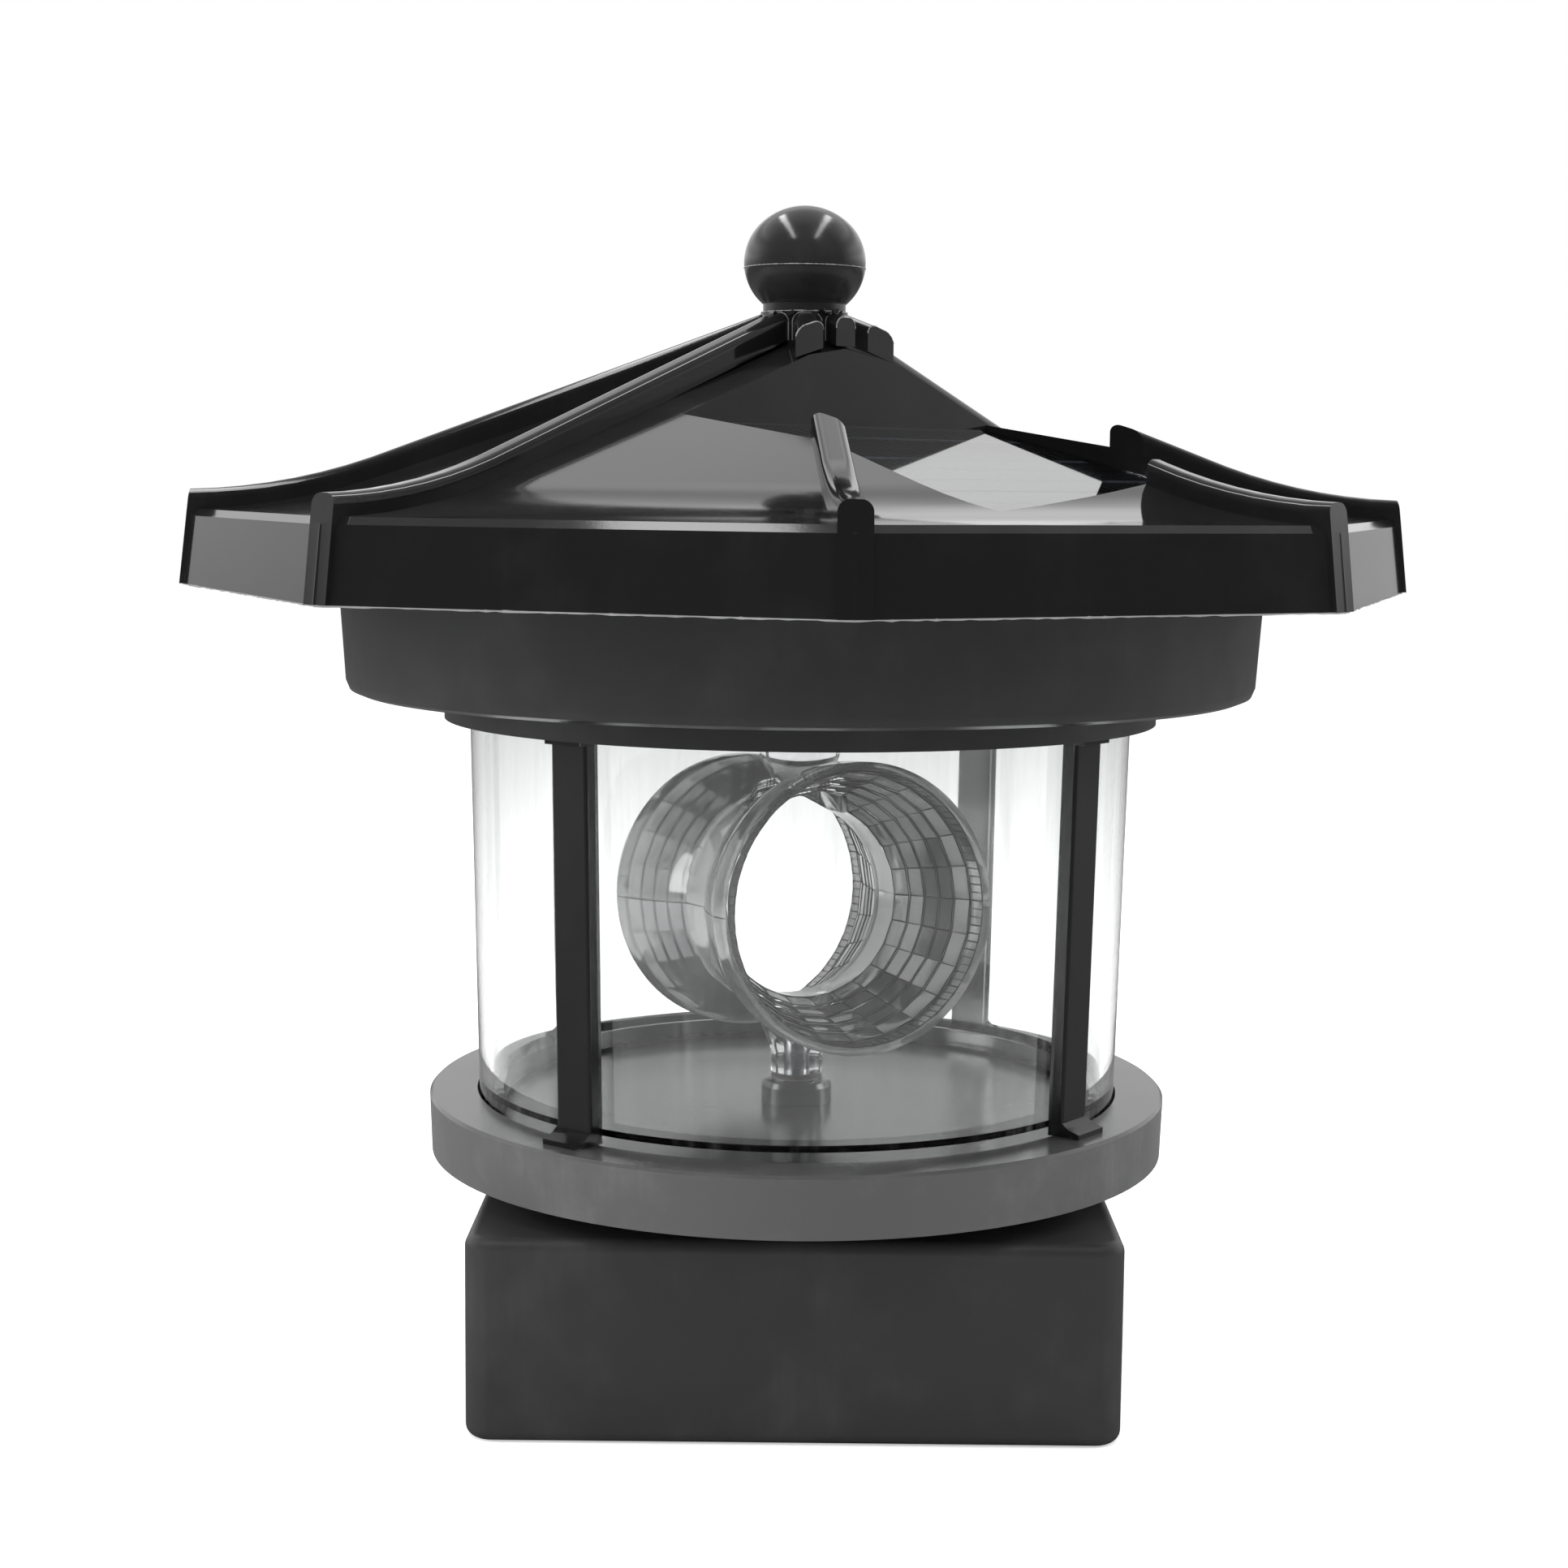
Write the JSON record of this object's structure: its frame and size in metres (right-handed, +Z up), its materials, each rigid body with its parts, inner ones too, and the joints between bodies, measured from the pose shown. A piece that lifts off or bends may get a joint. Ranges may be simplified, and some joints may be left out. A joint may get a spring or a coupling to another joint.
{
  "type": "solar garden lighthouse lantern",
  "caption": "Lighthouse-top garden light: eight-sided roof with sunk solar panel and ball, clear window with turning double-bell lens, round gallery and square motor case.",
  "frame": {"origin": "middle of the case's underside, on the turning axis", "axes": "+Z up along the turning axis; the seen face of the square case looks along -Y"},
  "size_m": [0.1496, 0.1496, 0.1408],
  "materials": {
    "case_plastic": "satin-gloss black moulding",
    "gallery_plastic": "polished black moulding",
    "post_plastic": "polished black moulding",
    "cup_plastic": "polished black moulding",
    "roof_plastic": "polished black moulding",
    "ball_plastic": "polished black moulding",
    "plate_plastic": "matt black moulding",
    "switch_plastic": "matt black moulding",
    "gear_plastic": "natural white moulding",
    "holder_plastic": "white moulding",
    "clear_window": "clear moulded plastic",
    "clear_lens": "clear moulded plastic, facetted inside",
    "clear_lamp": "clear epoxy",
    "clear_resin": "clear cast resin",
    "seal_rubber": "black sealing ring",
    "lead_sleeve": "black insulated lead",
    "screw_steel": "zinc-plated steel",
    "spring_steel": "nickel-plated steel",
    "shaft_steel": "ground steel",
    "motor_steel": "plated steel",
    "bush_steel": "sintered steel",
    "brass": "turned brass",
    "cell_sleeve": "plain printed sleeve",
    "board_laminate": "green coated laminate",
    "chip_plastic": "black epoxy",
    "coil_ferrite": "ferrite drum",
    "panel_laminate": "dark coated laminate",
    "solar_cell": "dark silicon"
  },
  "bodies": {
    "body": {"ball_finial": "ball_plastic", "battery_cell": "cell_sleeve", "battery_spring": "spring_steel", "board_screws": "screw_steel", "boost_coil": "coil_ferrite", "case_screws": "screw_steel", "circuit_board": "board_laminate", "contact_plates": "spring_steel", "control_chip": "chip_plastic", "disc_screws": "screw_steel", "finial_screw": "screw_steel", "gallery_disc": "gallery_plastic", "gear_pins": "shaft_steel", "gear_plate": "plate_plastic", "lamp_holder": "holder_plastic", "led_lamp": "clear_lamp", "lower_bush": "bush_steel", "lower_cover": "case_plastic", "lower_seal": "seal_rubber", "main_lead": "lead_sleeve", "motor_can": "motor_steel", "motor_lead": "lead_sleeve", "motor_screws": "screw_steel", "motor_tags": "brass", "panel_lead": "lead_sleeve", "panel_resin": "clear_resin", "plate_screws": "screw_steel", "post_back_left": "post_plastic", "post_back_right": "post_plastic", "post_front_left": "post_plastic", "post_front_right": "post_plastic", "roof_screws": "screw_steel", "roof_shell": "roof_plastic", "solar_board": "panel_laminate", "solar_cells": "solar_cell", "switch_body": "switch_plastic", "switch_lead": "lead_sleeve", "top_cup": "cup_plastic", "upper_bush": "bush_steel", "upper_case": "case_plastic", "upper_seal": "seal_rubber", "window_tube": "clear_window"},
    "rotor": {"rotor_lens": "clear_lens", "drive_shaft": "shaft_steel", "output_gear": "gear_plastic"},
    "second_gear_body": {"second_gear": "gear_plastic"},
    "first_gear_body": {"first_gear": "gear_plastic"},
    "motor_spindle": {"motor_pinion": "gear_plastic", "motor_shaft": "shaft_steel"},
    "switch": {"switch_slider": "switch_plastic"}
  },
  "joints": [
    {"name": "rotor_spin", "type": "hinge", "parent": "body", "child": "rotor", "pos_m": [0, 0, 0.031], "axis": [0, 0, 1], "continuous": true},
    {"name": "second_gear_spin", "type": "hinge", "parent": "body", "child": "second_gear_body", "pos_m": [0.00695, 0.01204, 0.018], "axis": [0, 0, 1], "continuous": true},
    {"name": "first_gear_spin", "type": "hinge", "parent": "body", "child": "first_gear_body", "pos_m": [-0.00116, 0.02101, 0.017], "axis": [0, 0, 1], "continuous": true},
    {"name": "motor_spin", "type": "hinge", "parent": "body", "child": "motor_spindle", "pos_m": [-0.013, 0.0185, 0.016], "axis": [0, 0, 1], "continuous": true},
    {"name": "switch_slide", "type": "slide", "parent": "body", "child": "switch", "axis": [1, 0, 0], "range_m": [0, 0.0032]}
  ],
  "couplings": [
    {"joint": "second_gear_spin", "follows": "rotor_spin", "ratio": -3.6},
    {"joint": "first_gear_spin", "follows": "rotor_spin", "ratio": 10.8},
    {"joint": "motor_spin", "follows": "rotor_spin", "ratio": -32.4}
  ]
}
